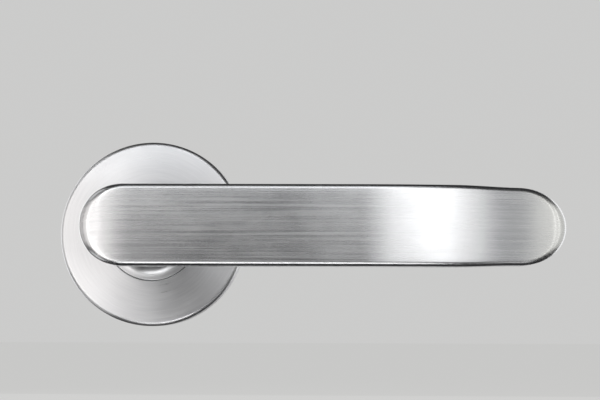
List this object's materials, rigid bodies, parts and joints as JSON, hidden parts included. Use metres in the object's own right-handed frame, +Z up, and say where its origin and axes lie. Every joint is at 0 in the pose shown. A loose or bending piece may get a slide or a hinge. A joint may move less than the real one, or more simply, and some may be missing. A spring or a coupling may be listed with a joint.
{
  "type": "door lever handle",
  "caption": "Satin stainless steel door lever on a round sprung rose. Its flat bar falls back at the free end. With neck, square spindle, return cassette and concealed fixings.",
  "frame": {"origin": "where the spindle's axis meets the face of the door, on the plane of the rose's back", "axes": "+X along the lever from the spindle to its free end, +Y into the door along the spindle, +Z up; the handle stands out towards -Y"},
  "size_m": [0.1375, 0.115, 0.052],
  "materials": {
    "satin_steel": "satin stainless steel, brushed level along the bar",
    "plated_steel": "bright zinc plated steel",
    "spring_steel": "oiled spring steel",
    "black_steel": "black oxide steel",
    "cast_zinc": "die-cast zinc, matte",
    "black_nylon": "glass-filled nylon, fine moulded grain",
    "white_acetal": "natural acetal, satin"
  },
  "bodies": {
    "rose": {"rose_cover": "satin_steel", "base_plate": "black_nylon", "bearing_bush": "white_acetal", "glide_ring": "white_acetal", "spring_cover": "plated_steel", "cassette_screws": "plated_steel", "return_spring_upper": "spring_steel", "return_spring_lower": "spring_steel", "stop_pins": "black_steel", "through_bolts": "plated_steel", "bolt_washers": "plated_steel", "wood_screws": "plated_steel", "cover_snap_ring": "spring_steel"},
    "lever": {"lever_bar": "satin_steel", "lever_neck": "satin_steel", "grub_screw": "black_steel", "spindle": "plated_steel", "return_cam": "cast_zinc", "thrust_washer": "plated_steel", "disc_spring": "spring_steel", "retaining_ring": "black_steel"}
  },
  "joints": [
    {"name": "lever_turn", "type": "hinge", "parent": "rose", "child": "lever", "pos_m": [0, 0, 0], "axis": [0, 1, 0], "range_deg": [0, 45], "stiffness_Nm_per_rad": 1, "springref_deg": -20.05, "deforming": ["return_spring_upper", "return_spring_lower"]}
  ]
}
